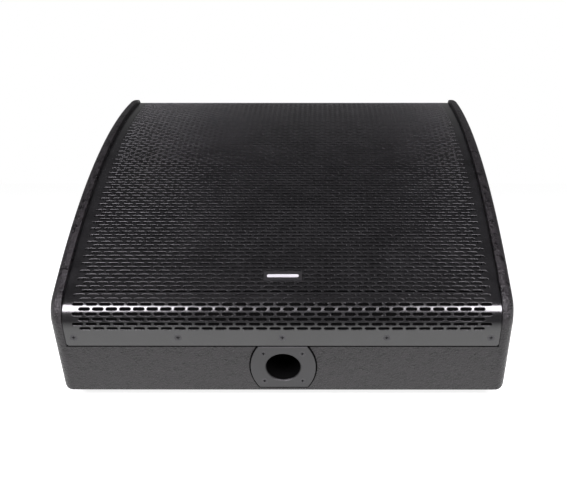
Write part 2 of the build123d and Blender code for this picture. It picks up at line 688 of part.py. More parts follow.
def inductors():
    """Two air-cored coils, one flat and one standing."""
    top = BOARD_Z + 1.6
    flat = ring(9, 24, top, top + 18, (-48, BOARD_Y))
    standing = Pos(42, BOARD_Y + 22, top + 19) * Rot(90, 0, 0) * ring(7, 19, -8, 8)
    return group([flat, standing])


def capacitors():
    """Film capacitors on the crossover board."""
    top = BOARD_Z + 1.6
    film = Pos(2, BOARD_Y, top + 9) * Rot(90, 0, 0) * disc(9, -20, 20)
    small = Pos(22, BOARD_Y - 26, top + 7) * Rot(0, 90, 0) * disc(7, -14, 14)
    return group([film, small])


def resistors():
    """Power resistors on the crossover board."""
    top = BOARD_Z + 1.6
    blocks = [box((x, x + 24), (BOARD_Y - 14, BOARD_Y - 4), (top, top + 9)) for x in (18, 48)]
    return group(blocks + [box((46, 70), (BOARD_Y - 30, BOARD_Y - 20), (top, top + 9))])


def board_terminals():
    """Screw terminals on the crossover board."""
    top = BOARD_Z + 1.6
    return group([box((x, x + 22), (BOARD_Y - 42, BOARD_Y - 32), (top, top + 10)) for x in (-60, -26)])


def damping_pads():
    """Felt pads on the bottom panel and on the rear panel."""
    floor = box((-200, 200), (-115, 20), (BASE_TOP, BASE_TOP + 8))
    walls = [box((x, x + 110), (DEPTH / 2 - PLY - 10, DEPTH / 2 - PLY), (50, 140)) for x in (-205, 95)]
    return group([floor] + walls)


def wiring():
    """Cables from the input to the crossover and on to the two drivers."""
    rise = Vector(0, 0, 50)
    inlet, outlet = (Vector(x, BOARD_Y - 37, BOARD_Z + 15) for x in (-22, -52))
    socket_end = (REAR.location * Pos(SOCKETS[1], 0, DISH - 34)).position
    woofer_end = (BAFFLE.location * Pos(0, 88, -110)).position
    hf_end = (BAFFLE.location * Pos(0, 47, -160)).position
    feed = round_cable(2.4, socket_end, socket_end + Vector(-6, -22, -30), inlet + rise, inlet)
    low_end, high_end = woofer_end + Vector(0, 8, 2), hf_end + Vector(0, 4, 2)
    low = round_cable(2.0, outlet, outlet + rise, woofer_end + Vector(-10, 22, 6), low_end)
    high = round_cable(1.6, outlet + Vector(9, 0, 0), outlet + Vector(12, -8, 26), high_end)
    return group([feed, low, high])


PARTS = {
    "side_panel_left": side_panel(-1),
    "side_panel_right": side_panel(1),
    "bottom_panel": bottom_panel(),
    "front_panel": front_panel(),
    "rear_lower_panel": rear_lower_panel(),
    "rear_upper_panel": rear_upper_panel(),
    "baffle": baffle(),
    "nose_rail": cross_rail(FRONT_SLOPE),
    "top_rail": cross_rail(REAR_SLOPE),
    "curved_battens": curved_battens(),
    "corner_battens": corner_battens(),
    "grille": grille(),
    "grille_foam": grille_foam(),
    "grille_screws": grille_screws(),
    "badge_plate": badge_plate(),
    "badge_bar": badge_bar(),
    "pole_socket": pole_socket(),
    "pole_screws": pole_screws(),
    "handle_left": handle(-1),
    "handle_right": handle(1),
    "handle_screws": handle_screws(),
    "rubber_feet": rubber_feet(),
    "foot_screws": foot_screws(),
    "input_plate": input_plate(),
    "input_screws": input_screws(),
    "socket_input": socket(SOCKETS[0]),
    "socket_link": socket(SOCKETS[1]),
    "socket_contacts": socket_contacts(),
    "socket_screws": socket_screws(),
    "basket": basket(),
    "driver_gasket": driver_gasket(),
    "driver_screws": driver_screws(),
    "tee_nuts": tee_nuts(),
    "surround": surround(),
    "cone": cone(),
    "dust_screen": dust_screen(),
    "coil_former": coil_former(),
    "coil_winding": coil_winding(),
    "spider": spider(),
    "top_plate": top_plate(),
    "plate_screws": plate_screws(),
    "magnet": magnet(),
    "yoke": yoke(),
    "horn": horn(),
    "hf_plate": hf_plate(),
    "hf_magnet": hf_magnet(),
    "phase_plug": phase_plug(),
    "hf_dome": hf_dome(),
    "hf_cover": hf_cover(),
    "port_left": port(-1),
    "port_right": port(1),
    "crossover_board": crossover_board(),
    "standoffs": standoffs(),
    "board_screws": board_screws(),
    "inductors": inductors(),
    "capacitors": capacitors(),
    "resistors": resistors(),
    "board_terminals": board_terminals(),
    "damping_pads": damping_pads(),
    "wiring": wiring(),
}

os.makedirs("parts", exist_ok=True)
for node, shape in PARTS.items():
    export_step(shape, f"parts/{node}.step")
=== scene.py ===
"""Looks of the stage monitor wedge: a perforated grille built cell by cell, procedural materials on every
CAD node, a pale studio floor and soft lamps. Metres, in the row frame: the grille faces -Y and up."""

import json
import math

import bpy
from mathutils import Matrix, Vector


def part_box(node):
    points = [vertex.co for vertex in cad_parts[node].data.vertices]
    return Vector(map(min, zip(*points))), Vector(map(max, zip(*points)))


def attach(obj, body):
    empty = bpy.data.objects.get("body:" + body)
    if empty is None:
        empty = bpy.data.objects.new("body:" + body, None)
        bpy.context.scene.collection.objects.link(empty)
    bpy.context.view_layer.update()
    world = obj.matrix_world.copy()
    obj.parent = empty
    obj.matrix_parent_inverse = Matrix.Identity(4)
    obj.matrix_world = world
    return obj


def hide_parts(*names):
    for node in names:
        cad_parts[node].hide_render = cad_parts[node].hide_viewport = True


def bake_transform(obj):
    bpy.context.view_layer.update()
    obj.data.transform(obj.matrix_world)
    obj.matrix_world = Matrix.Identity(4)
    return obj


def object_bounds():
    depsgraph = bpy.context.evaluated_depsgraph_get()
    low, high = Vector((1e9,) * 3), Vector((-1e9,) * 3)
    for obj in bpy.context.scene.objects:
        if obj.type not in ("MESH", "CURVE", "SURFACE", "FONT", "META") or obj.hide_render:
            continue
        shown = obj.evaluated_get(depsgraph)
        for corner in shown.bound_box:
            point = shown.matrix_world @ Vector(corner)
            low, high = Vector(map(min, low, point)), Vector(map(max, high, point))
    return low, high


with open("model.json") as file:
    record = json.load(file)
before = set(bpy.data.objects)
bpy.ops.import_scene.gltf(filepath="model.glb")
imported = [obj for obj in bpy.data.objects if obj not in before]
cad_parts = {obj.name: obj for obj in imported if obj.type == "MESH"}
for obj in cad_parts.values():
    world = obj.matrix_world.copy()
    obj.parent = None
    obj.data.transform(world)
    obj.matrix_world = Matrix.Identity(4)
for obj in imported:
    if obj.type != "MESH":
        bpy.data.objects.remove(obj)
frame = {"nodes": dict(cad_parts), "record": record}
NODES = frame["nodes"]


def plain(bounds):
    return [[float(value) for value in corner] for corner in bounds]


CAD_BOX = plain(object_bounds())
MM = 0.001

# ---- Grille shape, as in the CAD ---------------------------------------------------------------------
FRONT_SLOPE, NOSE_SLOPE, TOP_SLOPE, REAR_SLOPE = (math.radians(a) for a in (120.0, 44.9, 15.1, -60.0))
RADIUS, BEND, FLANGE, SHEET = 893 * MM, 26 * MM, 22.4 * MM, 1.5 * MM
GRILLE_LOW, GRILLE_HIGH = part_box("grille")
HALF = GRILLE_HIGH.x


def outward(slope, length=1.0):
    return Vector((0, -math.sin(slope), math.cos(slope))) * length


def along(slope, length=1.0):
    return Vector((0, math.cos(slope), math.sin(slope))) * length


REACH = RADIUS - BEND
CENTRE = Vector((
    0,
    GRILLE_LOW.y + BEND + math.sin(NOSE_SLOPE) * REACH,
    GRILLE_HIGH.z - BEND - math.cos(TOP_SLOPE) * REACH,
))
NOSE_CENTRE = CENTRE + outward(NOSE_SLOPE, REACH)
TOP_CENTRE = CENTRE + outward(TOP_SLOPE, REACH)
S1 = FLANGE
S2 = S1 + BEND * (FRONT_SLOPE - NOSE_SLOPE)
S3 = S2 + RADIUS * (NOSE_SLOPE - TOP_SLOPE)
S4 = S3 + BEND * (TOP_SLOPE - REAR_SLOPE)
S5 = S4 + FLANGE


def skin(s):
    """Point and slope of the grille's outer surface at a length s from the front flange's free edge."""
    if s < S1:
        return NOSE_CENTRE + outward(FRONT_SLOPE, BEND) + along(FRONT_SLOPE, s - S1), FRONT_SLOPE
    if s < S2:
        slope = FRONT_SLOPE - (s - S1) / BEND
        return NOSE_CENTRE + outward(slope, BEND), slope
    if s < S3:
        slope = NOSE_SLOPE - (s - S2) / RADIUS
        return CENTRE + outward(slope, RADIUS), slope
    if s < S4:
        slope = TOP_SLOPE - (s - S3) / BEND
        return TOP_CENTRE + outward(slope, BEND), slope
    return TOP_CENTRE + outward(REAR_SLOPE, BEND) + along(REAR_SLOPE, s - S4), REAR_SLOPE


class Sheet:
    """Mesh laid out flat as (x, s, depth) and bent onto the grille's surface, with its own normals."""

    def __init__(self):
        self.points, self.normals, self.faces, self.shared = [], [], [], {}

    def add(self, x, s, depth=0.0, normal=(0, 0, 1)):
        point, slope = skin(s)
        out, up = outward(slope), along(slope)
        self.points.append(point + Vector((x, 0, 0)) - out * depth)
        self.normals.append((Vector((normal[0], 0, 0)) + up * normal[1] + out * normal[2]).normalized())
        return len(self.points) - 1

    def flat(self, x, s):
        """Vertex on the outer surface, shared by the faces that meet there."""
        key = (round(x * 1e6), round(s * 1e6))
        if key not in self.shared:
            self.shared[key] = self.add(x, s)
        return self.shared[key]

    def quad(self, x0, x1, s0, s1):
        self.faces.append([self.flat(x0, s0), self.flat(x1, s0), self.flat(x1, s1), self.flat(x0, s1)])

    def hole(self, x, s, loop, walls, rim, links):
        """Pierced cell. loop holds (x, s, inward normal), walls the (growth, depth, lean) of each ring."""
        count = len(loop)
        rings = []
        for growth, depth, lean in walls:
            ring = [
                self.add(x + px - nx * growth, s + ps - ns * growth, depth, (nx * lean, ns * lean, 1 - lean))
                for px, ps, nx, ns in loop
            ]
            rings.append(ring)
        outer = [self.flat(x + px, s + ps) for px, ps in rim]
        for link in links:
            self.faces.append([(rings[0] if ring == "A" else outer)[i] for ring, i in link])
        for near, far in zip(rings, rings[1:]):
            for i in range(count):
                j = (i + 1) % count
                self.faces.append([near[i], near[j], far[j], far[i]])

    def edge(self, path, normal):
        """Cut edge of the sheet along a list of (x, s) points."""
        top = [self.add(x, s, 0, normal) for x, s in path]
        low = [self.add(x, s, SHEET, normal) for x, s in path]
        for i in range(len(path) - 1):
            self.faces.append([top[i], low[i], low[i + 1], top[i + 1]])

    def build(self, name):
        for face in self.faces:
            a, b, c = (self.points[i] for i in face[:3])
            if (b - a).cross(c - a).dot(sum((self.normals[i] for i in face), Vector())) < 0:
                face.reverse()
        mesh = bpy.data.meshes.new(name)
        mesh.from_pydata(self.points, [], self.faces)
        mesh.polygons.foreach_set("use_smooth", [True] * len(mesh.polygons))
        mesh.update()
        mesh.normals_split_custom_set_from_vertices(self.normals)
        piece = bpy.data.objects.new(name, mesh)
        bpy.context.scene.collection.objects.link(piece)
        return piece


# ---- Perforated grille -------------------------------------------------------------------------------
PITCH, ROW_STEP = 14.05 * MM, 5.384 * MM
FIRST_ROW = 23.24 * MM
ROWS, SHORT_ROW = 99, 30
SLOT_HALF_LONG, SLOT_HALF_HIGH = 5.8 * MM, 1.6 * MM
SLOT_ROUND = 0.52 * MM
SLOT_WALLS = ((SLOT_ROUND, 0, 0), (0, SLOT_ROUND, 1), (0, SHEET, 1))
SIDE = (SHORT_ROW + 1) / 2 * PITCH
LAST_EDGE = FIRST_ROW + (ROWS - 0.5) * ROW_STEP


def slot_loop():
    """Twelve points round a round-ended slot with the normals of its wall, which face into the slot."""
    straight = SLOT_HALF_LONG - SLOT_HALF_HIGH
    turns = ((1, (0, 45, 90)), (0, (90,)), (-1, (90, 135, 180, 225, 270)), (0, (270,)), (1, (270, 315)))
    loop = []
    for end, angles in turns:
        for angle in angles:
            c, s = math.cos(math.radians(angle)), math.sin(math.radians(angle))
            loop.append((end * straight + SLOT_HALF_HIGH * c, SLOT_HALF_HIGH * s, -c, -s))
    return loop


SLOT = slot_loop()
SQUARE = ((1, 0), (1, 1), (0, 1), (-1, 1), (-1, 0), (-1, -1), (0, -1), (1, -1))
CELL = [(PITCH / 2 * a, ROW_STEP / 2 * b) for a, b in SQUARE]
CELL_LINKS = [
    [("A", 0), ("O", 0), ("O", 1), ("A", 1)], [("A", 1), ("O", 1), ("A", 2)],
    [("A", 2), ("O", 1), ("O", 2), ("A", 3)], [("A", 3), ("O", 2), ("O", 3), ("A", 4)],
    [("A", 4), ("O", 3), ("A", 5)], [("A", 5), ("O", 3), ("O", 4), ("A", 6)],
    [("A", 6), ("O", 4), ("O", 5), ("A", 7)], [("A", 7), ("O", 5), ("A", 8)],
    [("A", 8), ("O", 5), ("O", 6), ("A", 9)], [("A", 9), ("O", 6), ("O", 7), ("A", 10)],
    [("A", 10), ("O", 7), ("A", 11)], [("A", 11), ("O", 7), ("O", 0), ("A", 0)],
]
SCREW_X = [x * MM for x in (-217.5, -108.75, 0, 108.75, 217.5)]
SCREW_IN, SCREW_CELL = 10.9 * MM, 6 * MM
SCREW_HOLE, SCREW_RIM, SCREW_TAPER = 3.7 * MM, 0.4 * MM, 1.5 * MM
TOP_BANDS = 16
CORNER = HALF - SCREW_X[-1] - SCREW_CELL


def perforated_rows(sheet):
    """Staggered rows of slots, with plain margins out to the sheet's edges."""
    for row in range(ROWS):
        s = FIRST_ROW + row * ROW_STEP
        count = SHORT_ROW + row % 2
        for i in range(count):
            sheet.hole((i - (count - 1) / 2) * PITCH, s, SLOT, SLOT_WALLS, CELL, CELL_LINKS)
        for a, b in ((s - ROW_STEP / 2, s), (s, s + ROW_STEP / 2)):
            for side in (-1, 1):
                inner = [count / 2 * PITCH, SIDE] if count == SHORT_ROW else [SIDE]
                for x0, x1 in zip(inner, inner[1:] + [HALF]):
                    sheet.quad(*sorted((side * x0, side * x1)), a, b)


def flange(sheet, at, rear):
    """Flat flange with five countersunk holes and rounded free corners; at maps a distance from its edge."""
    turn = [math.radians(30 * i) for i in range(12)]
    loop = [(SCREW_HOLE * math.cos(a), SCREW_HOLE * math.sin(a), -math.cos(a), -math.sin(a)) for a in turn]
    walls = ((SCREW_RIM, 0, 0), (0, SCREW_RIM / 2, 0.8), (-SCREW_TAPER, SHEET, 0.6))
    rim = [(SCREW_CELL * a, SCREW_CELL * b) for a, b in SQUARE]
    breaks = [-HALF] + [x + side for x in SCREW_X for side in (-SCREW_CELL, 0, SCREW_CELL)] + [HALF]
    bands = [0, CORNER, SCREW_IN - SCREW_CELL, SCREW_IN, SCREW_IN + SCREW_CELL]
    for x in SCREW_X:
        sheet.hole(x, at(SCREW_IN), loop, walls, rim, CELL_LINKS)
    for band, (near, far) in enumerate(zip(bands, bands[1:])):
        for i, (x0, x1) in enumerate(zip(breaks, breaks[1:])):
            corner = band == 0 and i in (0, len(breaks) - 2)
            pierced = band >= 2 and i % 3 != 0
            if not corner and not pierced:
                sheet.quad(x0, x1, *sorted((at(near), at(far))))
    stop = S4 if rear else FIRST_ROW - ROW_STEP / 2
    for x0, x1 in zip(breaks, breaks[1:]):
        sheet.quad(x0, x1, *sorted((at(bands[-1]), stop)))
    for side in (-1, 1):
        hub = side * (HALF - CORNER)
        turns = [math.radians(15 * i) for i in range(7)]
        arc = [(hub + side * CORNER * math.cos(a), CORNER - CORNER * math.sin(a)) for a in turns]
        fan = [sheet.flat(hub, at(CORNER))] + [sheet.flat(x, at(d)) for x, d in arc]
        for i in range(1, len(fan) - 1):
            sheet.faces.append([fan[0], fan[i], fan[i + 1]])
        sheet.edge([(x, at(d)) for x, d in arc], (side * 0.7, 0.7 if rear else -0.7, 0))
    sheet.edge([(CORNER - HALF, at(0)), (HALF - CORNER, at(0))], (0, 1 if rear else -1, 0))


def make_grille():
    """Whole perforated sheet: slotted rows, both flanges, the plain top bend and the side edges."""
    sheet = Sheet()
    perforated_rows(sheet)
    flange(sheet, lambda d: d, False)
    flange(sheet, lambda d: S5 - d, True)
    cuts = [LAST_EDGE + (S4 - LAST_EDGE) * i / TOP_BANDS for i in range(TOP_BANDS + 1)]
    breaks = [-HALF, -SIDE] + [i * PITCH / 2 for i in range(-SHORT_ROW, SHORT_ROW + 1)] + [SIDE, HALF]
    for a, b in zip(cuts, cuts[1:]):
        for x0, x1 in zip(breaks, breaks[1:]):
            sheet.quad(x0, x1, a, b)
    rim = [CORNER] + [FIRST_ROW + (i - 0.5) * ROW_STEP for i in range(ROWS)] + cuts + [S5 - CORNER]
    for side in (-1, 1):
        sheet.edge([(side * HALF, s) for s in rim], (side, 0, 0))
    return sheet.build("perforated_grille")


# ---- Materials ---------------------------------------------------------------------------------------
def new_material(name):
    made = bpy.data.materials.new(name)
    made.use_nodes = True
    tree = made.node_tree
    return made, tree, tree.nodes["Principled BSDF"]


def node(tree, kind, inputs=(), **settings):
    made = tree.nodes.new(kind)
    for key, value in settings.items():
        setattr(made, key, value)
    for key, value in dict(inputs).items():
        socket = made.inputs[key]
        if isinstance(value, bpy.types.NodeSocket):
            tree.links.new(value, socket)
        else:
            socket.default_value = value
    return made


def calc(tree, operation, *values):
    """Result of a maths node on one or two sockets or numbers."""
    return node(tree, "ShaderNodeMath", dict(enumerate(values)), operation=operation).outputs[0]


def object_place(tree):
    return node(tree, "ShaderNodeTexCoord").outputs["Object"]


def noise(tree, scale, detail=3.0, stretch=(1, 1, 1)):
    """Noise over the row frame, stretched where the surface has a grain direction."""
    place = node(tree, "ShaderNodeMapping", {"Vector": object_place(tree), "Scale": stretch}).outputs[0]
    return node(tree, "ShaderNodeTexNoise", {"Vector": place, "Scale": scale, "Detail": detail}).outputs[0]


def ramp(tree, factor, low, high, start, end):
    """Value that goes from low to high while the factor goes from start to end."""
    reach = {"Value": factor, "From Min": start, "From Max": end, "To Min": low, "To Max": high}
    return node(tree, "ShaderNodeMapRange", reach).outputs[0]


def tint(tree, factor, dark, light):
    """Colour between two colours, either of them given as numbers or as a socket."""
    made = node(tree, "ShaderNodeMix", {"Factor": factor}, data_type="RGBA")
    for socket, colour in ((made.inputs[6], dark), (made.inputs[7], light)):
        if isinstance(colour, bpy.types.NodeSocket):
            tree.links.new(colour, socket)
        else:
            socket.default_value = (*colour, 1)
    return made.outputs[2]


def paint_shade(tree, shader, share, black):
    """Paints shade into the base colour: draws it towards a near black where the share is low."""
    socket = shader.inputs["Base Color"]
    tree.links.new(tint(tree, share, (black, black, black), socket.links[0].from_socket), socket)


MIXED_SPAN = (0.75, 1.25)       # where the sum of two noises mostly lies


def surface(name, dark, light, rough, metal=0.0, grain=300, bump=0.2, depth=0.2, stretch=(1, 1, 1),
            patch=25, specular=0.5, edge=0.3, extra=None, coat=0.0):
    """General finish: colour from fine and coarse noise, uneven roughness, a bumped and softened surface."""
    made, tree, shader = new_material(name)
    fine = noise(tree, grain, 4.0, stretch)
    coarse = noise(tree, patch, 3.0)
    mixed = calc(tree, "ADD", fine, coarse)
    height = extra(tree) if extra else fine
    tree.links.new(tint(tree, ramp(tree, mixed, 0, 1, *MIXED_SPAN), dark, light), shader.inputs["Base Color"])
    tree.links.new(ramp(tree, mixed, *rough, *MIXED_SPAN), shader.inputs["Roughness"])
    shader.inputs["Metallic"].default_value = metal
    shader.inputs["Specular IOR Level"].default_value = specular
    shader.inputs["Coat Weight"].default_value = coat
    normal = node(tree, "ShaderNodeBevel", {"Radius": edge * MM}, samples=4).outputs[0]
    relief = {"Height": height, "Strength": bump, "Distance": depth * MM, "Normal": normal}
    tree.links.new(node(tree, "ShaderNodeBump", relief).outputs[0], shader.inputs["Normal"])
    return made


def pebbles(tree):
    """Height of sprayed textured paint: rounded grains of several sizes."""
    cells = {"Vector": object_place(tree), "Scale": 430.0, "Smoothness": 0.7}
    grains = node(tree, "ShaderNodeTexVoronoi", cells, feature="SMOOTH_F1").outputs["Distance"]
    total = calc(tree, "ADD", grains, noise(tree, 1100, 2.0))
    return calc(tree, "ADD", total, calc(tree, "MULTIPLY", noise(tree, 260, 1.0), 0.5))


def weave(scale):
    """Height of a plain woven cloth."""
    def build(tree):
        look = {"Vector": object_place(tree), "Scale": scale, "Distortion": 0.4}
        waves = [node(tree, "ShaderNodeTexWave", look, bands_direction=way).outputs["Fac"]
                 for way in ("X", "DIAGONAL")]
        return calc(tree, "MULTIPLY", *waves)
    return build


def lines(scale, way="Z"):
    """Height of close parallel lines, as on wound wire, turned metal or wood grain."""
    def build(tree):
        look = {"Vector": object_place(tree), "Scale": scale, "Distortion": 1.5, "Detail": 2.0}
        return node(tree, "ShaderNodeTexWave", look, bands_direction=way).outputs["Fac"]
    return build


def pores(scale):
    """Height of open foam or felt."""
    def build(tree):
        look = {"Vector": object_place(tree), "Scale": scale, "Randomness": 1.0}
        return node(tree, "ShaderNodeTexVoronoi", look).outputs["Distance"]
    return build


def grey(value):
    """Neutral colour, a touch blue as black paint and plastic are."""
    return (value, value, value * 1.03)


FINISH = {
    "cabinet_paint": dict(dark=(0.0038, 0.0034, 0.0038), light=(0.0165, 0.0150, 0.0160), rough=(0.24, 0.44),
        grain=230, bump=1.0, depth=0.8, patch=130, edge=0.8, extra=pebbles, specular=0.42),
    "grille_paint": dict(dark=grey(0.006), light=grey(0.011), rough=(0.15, 0.22), grain=900, bump=0.05,
        depth=0.05, patch=35, specular=0.9, edge=0.0),
    "raw_batten": dict(dark=(0.42, 0.28, 0.15), light=(0.66, 0.50, 0.32), rough=(0.6, 0.8), grain=120,
        stretch=(0.1, 1, 1), extra=lines(60, "Y")),
    "foam": dict(dark=grey(0.002), light=grey(0.006), rough=(0.9, 1.0), grain=700, bump=0.9, depth=0.8,
        extra=pores(700), specular=0.1),
    "black_screw": dict(dark=grey(0.030), light=grey(0.055), rough=(0.3, 0.42), metal=0.4, grain=900,
        bump=0.1, depth=0.05, edge=0.15),
    "badge_dark": dict(dark=grey(0.006), light=grey(0.010), rough=(0.35, 0.5), grain=900, bump=0.15,
        depth=0.05),
    "badge_light": dict(dark=(0.30, 0.30, 0.31), light=(0.42, 0.42, 0.43), rough=(0.35, 0.45), metal=0.1,
        grain=700, stretch=(0.05, 1, 1), bump=0.08, depth=0.03, edge=0.2),
    "socket_plastic": dict(dark=grey(0.010), light=grey(0.018), rough=(0.38, 0.52), grain=1100, bump=0.35,
        depth=0.12, edge=0.5),
    "feet_rubber": dict(dark=grey(0.010), light=grey(0.020), rough=(0.7, 0.9), grain=600, bump=0.3,
        depth=0.2, edge=0.8),
    "contact_metal": dict(dark=(0.55, 0.50, 0.38), light=(0.75, 0.70, 0.55), rough=(0.2, 0.35), metal=1,
        grain=900),
    "cast_frame": dict(dark=grey(0.015), light=grey(0.03), rough=(0.4, 0.6), grain=500, bump=0.35,
        depth=0.2, edge=1.0),
    "gasket_cork": dict(dark=(0.03, 0.026, 0.022), light=(0.08, 0.07, 0.055), rough=(0.8, 0.95), grain=500,
        extra=pores(500), bump=0.5),
    "zinc_steel": dict(dark=(0.50, 0.50, 0.49), light=(0.68, 0.68, 0.66), rough=(0.25, 0.42), metal=1,
        grain=400, stretch=(1, 1, 0.2), bump=0.08, depth=0.05),
    "cloth": dict(dark=grey(0.012), light=grey(0.03), rough=(0.6, 0.8), grain=500, extra=weave(700),
        bump=0.5, depth=0.2, edge=0),
    "spider_cloth": dict(dark=(0.40, 0.25, 0.08), light=(0.62, 0.45, 0.20), rough=(0.6, 0.8), grain=400,
        extra=weave(600), bump=0.5, depth=0.2, edge=0),
    "cone_paper": dict(dark=grey(0.010), light=grey(0.028), rough=(0.55, 0.8), grain=240,
        stretch=(1, 1, 1.6), bump=0.5, depth=0.35, edge=0),
    "screen_cloth": dict(dark=grey(0.006), light=grey(0.02), rough=(0.6, 0.8), grain=600, extra=weave(900),
        bump=0.6, depth=0.2, edge=0),
    "former": dict(dark=(0.45, 0.25, 0.06), light=(0.60, 0.38, 0.12), rough=(0.25, 0.4), grain=300,
        bump=0.05, edge=0),
    "copper": dict(dark=(0.50, 0.18, 0.07), light=(0.80, 0.36, 0.17), rough=(0.25, 0.4), metal=1,
        extra=lines(500), bump=0.6, depth=0.3),
    "ferrite": dict(dark=(0.025, 0.025, 0.028), light=(0.06, 0.06, 0.065), rough=(0.5, 0.75), grain=350,
        bump=0.4, depth=0.2),
    "horn_plastic": dict(dark=grey(0.010), light=grey(0.02), rough=(0.35, 0.5), grain=800, bump=0.2,
        depth=0.1),
    "hf_metal": dict(dark=(0.55, 0.56, 0.58), light=(0.75, 0.76, 0.78), rough=(0.2, 0.35), metal=1,
        extra=lines(300), bump=0.08, depth=0.05),
    "board": dict(dark=(0.03, 0.10, 0.03), light=(0.06, 0.17, 0.06), rough=(0.3, 0.5), grain=300,
        extra=weave(500), bump=0.15, depth=0.08),
    "capacitor": dict(dark=(0.50, 0.36, 0.04), light=(0.66, 0.50, 0.10), rough=(0.15, 0.3), grain=200,
        bump=0.1, coat=0.3),
    "resistor": dict(dark=(0.55, 0.54, 0.50), light=(0.74, 0.73, 0.69), rough=(0.7, 0.9), grain=700,
        extra=pores(700), bump=0.3),
    "terminal": dict(dark=(0.01, 0.09, 0.03), light=(0.02, 0.14, 0.05), rough=(0.25, 0.4), grain=400,
        bump=0.1),
    "felt": dict(dark=(0.13, 0.13, 0.125), light=(0.24, 0.24, 0.23), rough=(0.9, 1.0), grain=450,
        extra=pores(450), bump=0.9, depth=1.0),
    "cable": dict(dark=grey(0.010), light=grey(0.02), rough=(0.45, 0.6), grain=500, bump=0.15),
}
MATERIALS = {slot: surface(slot, **look) for slot, look in FINISH.items()}


def shade_recesses(material, reach):
    """Painted shade: darkens the base colour and dims the reflection in recesses narrower than a reach, such
    as a screw's cross slot, by ambient occlusion.
    """
    tree = material.node_tree
    shader = tree.nodes["Principled BSDF"]
    open_air = node(tree, "ShaderNodeAmbientOcclusion", {"Distance": reach}, samples=8).outputs["AO"]
    clear = ramp(tree, open_air, 0, 1, 0.45, 0.85)
    paint_shade(tree, shader, clear, 0.001)
    tree.links.new(calc(tree, "MULTIPLY", clear, 0.5), shader.inputs["Specular IOR Level"])


shade_recesses(MATERIALS["black_screw"], 2.5 * MM)
MATERIALS["batten_black"] = surface(
    "batten_black", grey(0.002), grey(0.005), (0.8, 0.95), grain=500, bump=0.5, depth=0.3, specular=0.15)
SLOT_OF = {entry["node"]: entry["material_slot"] for entry in frame["record"]["subparts"]}
for name, obj in NODES.items():
    obj.data.materials.clear()
    obj.data.materials.append(MATERIALS[SLOT_OF[name]])


def mount_place(name):
    """Position of a mount of the record."""
    return Vector(next(entry for entry in frame["record"]["mounts"] if entry["name"] == name)["pos_m"])


def dot(tree, vector, axis):
    return node(tree, "ShaderNodeVectorMath", {0: vector, 1: axis}, operation="DOT_PRODUCT").outputs["Value"]


def painted_shade_copy(slot, axis, level, fade, glint):
    """Copy of a finish with painted shade: it turns matt black beyond a level along an axis, where the part
    lies out of the light.
    """
    made = MATERIALS[slot].copy()
    made.name = slot + "_shaded"
    tree = made.node_tree
    shader = tree.nodes["Principled BSDF"]
    lit = ramp(tree, dot(tree, object_place(tree), axis), 1, 0, level, level + fade)
    paint_shade(tree, shader, lit, 0.002)
    tree.links.new(calc(tree, "MULTIPLY", lit, glint), shader.inputs["Specular IOR Level"])
    return made


PLATE_BOW, PLATE_BOW_SHIFT, PLATE_HALF_HIGH = 51 * MM, 16.2 * MM, 28.8 * MM
# Painted shadow line round the pole socket's plate: where it fades out, and how far its middle drops.
PLATE_SHADOW_SPAN, PLATE_SHADOW_DROP = (1.1 * MM, 2.0 * MM), 0.6 * MM


def shadow_round_plate(material):
    """Painted shadow: a dark line on the front panel round the bow-sided plate of the pole socket, with its
    reflection dimmed too.
    """
    tree = material.node_tree
    shader = tree.nodes["Principled BSDF"]
    place = object_place(tree)
    away = node(tree, "ShaderNodeVectorMath", {0: place, 1: POLE}, operation="SUBTRACT").outputs[0]
    up = dot(tree, away, FACE_UP)
    right = node(tree, "ShaderNodeSeparateXYZ", {0: away}).outputs["X"]
    across = calc(tree, "ADD", calc(tree, "ABSOLUTE", right), PLATE_BOW_SHIFT)
    flat = node(tree, "ShaderNodeCombineXYZ", {"X": across, "Y": up}).outputs[0]
    radius = node(tree, "ShaderNodeVectorMath", {0: flat}, operation="LENGTH").outputs["Value"]
    rise = calc(tree, "ABSOLUTE", calc(tree, "ADD", up, PLATE_SHADOW_DROP))
    past_bow = calc(tree, "SUBTRACT", radius, PLATE_BOW)
    past_flat = calc(tree, "SUBTRACT", rise, PLATE_HALF_HIGH)
    clear = ramp(tree, calc(tree, "MAXIMUM", past_bow, past_flat), 0, 1, *PLATE_SHADOW_SPAN)
    paint_shade(tree, shader, clear, 0.001)
    socket = shader.inputs["Specular IOR Level"]
    tree.links.new(calc(tree, "MULTIPLY", socket.links[0].from_socket, clear), socket)


FACE_OUT, FACE_UP = outward(FRONT_SLOPE), along(FRONT_SLOPE)
POLE, INPUT = mount_place("pole_socket"), mount_place("input_socket")
BORE_MOUTH, FRONT_FLANGE_EDGE, REAR_FLANGE_EDGE = -1.35 * MM, 27.9 * MM, 66.6 * MM
# Painted shade: the pole socket's bore past its mouth, and the front and rear panels above the grille's
# flange edges, go near black.
SHADED = {
    "pole_socket": ("socket_plastic", -FACE_OUT, -POLE.dot(FACE_OUT) + BORE_MOUTH, 1.3 * MM, 0.6),
    "front_panel": ("cabinet_paint", FACE_UP, POLE.dot(FACE_UP) + FRONT_FLANGE_EDGE, 0.3 * MM, 0.45),
    "rear_upper_panel": ("cabinet_paint", FACE_UP, INPUT.dot(FACE_UP) + REAR_FLANGE_EDGE, 0.2 * MM, 0.5),
}
for name, shading in SHADED.items():
    NODES[name].data.materials[0] = painted_shade_copy(*shading)
shadow_round_plate(NODES["front_panel"].data.materials[0])
for name in ("nose_rail", "top_rail", "curved_battens"):
    NODES[name].data.materials[0] = MATERIALS["batten_black"]

grille = make_grille()
grille.data.materials.append(MATERIALS["grille_paint"])
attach(grille, "cabinet_body")
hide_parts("grille")


